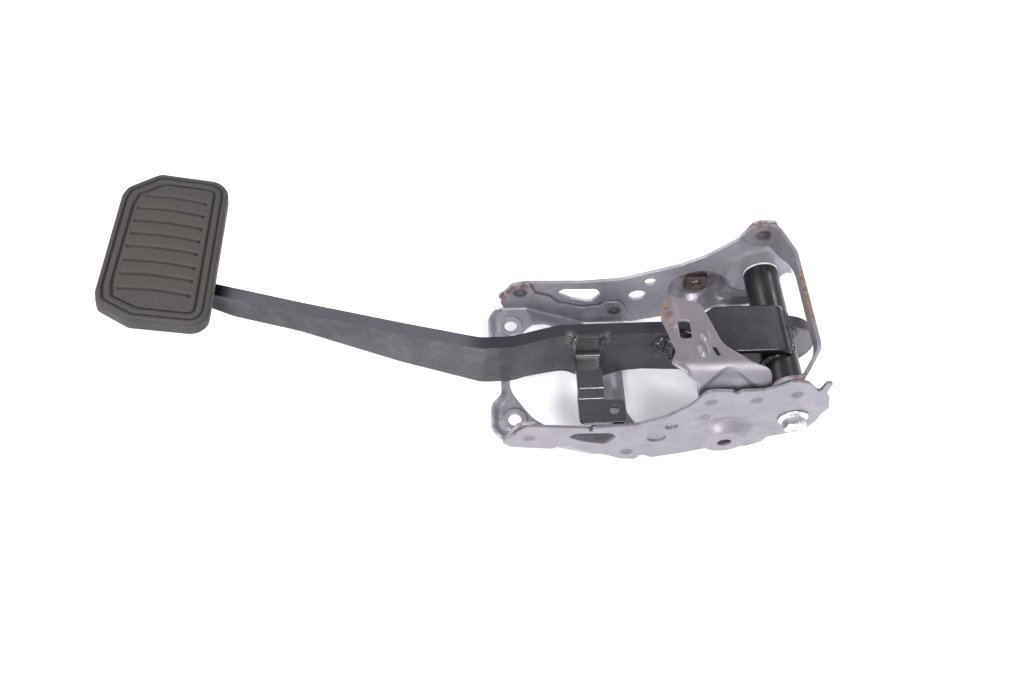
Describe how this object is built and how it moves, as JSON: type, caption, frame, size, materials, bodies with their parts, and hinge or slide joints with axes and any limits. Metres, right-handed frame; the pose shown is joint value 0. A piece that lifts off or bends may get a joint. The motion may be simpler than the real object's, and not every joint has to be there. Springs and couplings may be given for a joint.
{
  "type": "brake pedal",
  "caption": "Pendant brake pedal of a car: black steel arm with a ribbed rubber pad, swinging on a through bolt in a pressed steel bulkhead bracket.",
  "frame": {"origin": "midway between the two stud holes, on the face of the base plate that meets the bulkhead", "axes": "+X along the bracket from the stud holes towards the pivot, away from the pad; +Y across the car along the pivot bolt; +Z away from the bulkhead"},
  "size_m": [0.4318, 0.1656, 0.1136],
  "materials": {
    "bracket_steel": "dull grey coating on pressed steel, light rust at cut edges",
    "nut_steel": "bare steel with brown surface rust",
    "bright_zinc": "bright zinc plating",
    "sleeve_steel": "turned steel",
    "arm_black": "satin black paint",
    "bush_plastic": "moulded, off-white",
    "pad_rubber": "moulded, dusty"
  },
  "bodies": {
    "bracket": {"base_plate": "bracket_steel", "near_side_plate": "bracket_steel", "far_side_plate": "bracket_steel", "end_strap": "bracket_steel", "switch_bracket": "bracket_steel", "near_weld_nut": "nut_steel", "far_weld_nut": "nut_steel", "pivot_bolt": "bright_zinc", "pivot_nut": "bright_zinc", "pivot_sleeve": "sleeve_steel"},
    "pedal": {"pedal_arm": "arm_black", "pivot_tube": "arm_black", "near_bush": "bush_plastic", "far_bush": "bush_plastic", "arm_box": "arm_black", "side_strip": "arm_black", "pad_plate": "arm_black", "pad_rubber": "pad_rubber", "tube_weld": "arm_black", "box_welds": "arm_black", "strip_welds": "arm_black", "pad_welds": "arm_black"}
  },
  "joints": [
    {"name": "pedal_pivot", "type": "hinge", "parent": "bracket", "child": "pedal", "pos_m": [0.164, 0, 0.034], "axis": [0, 1, 0], "range_deg": [0, 15]}
  ]
}
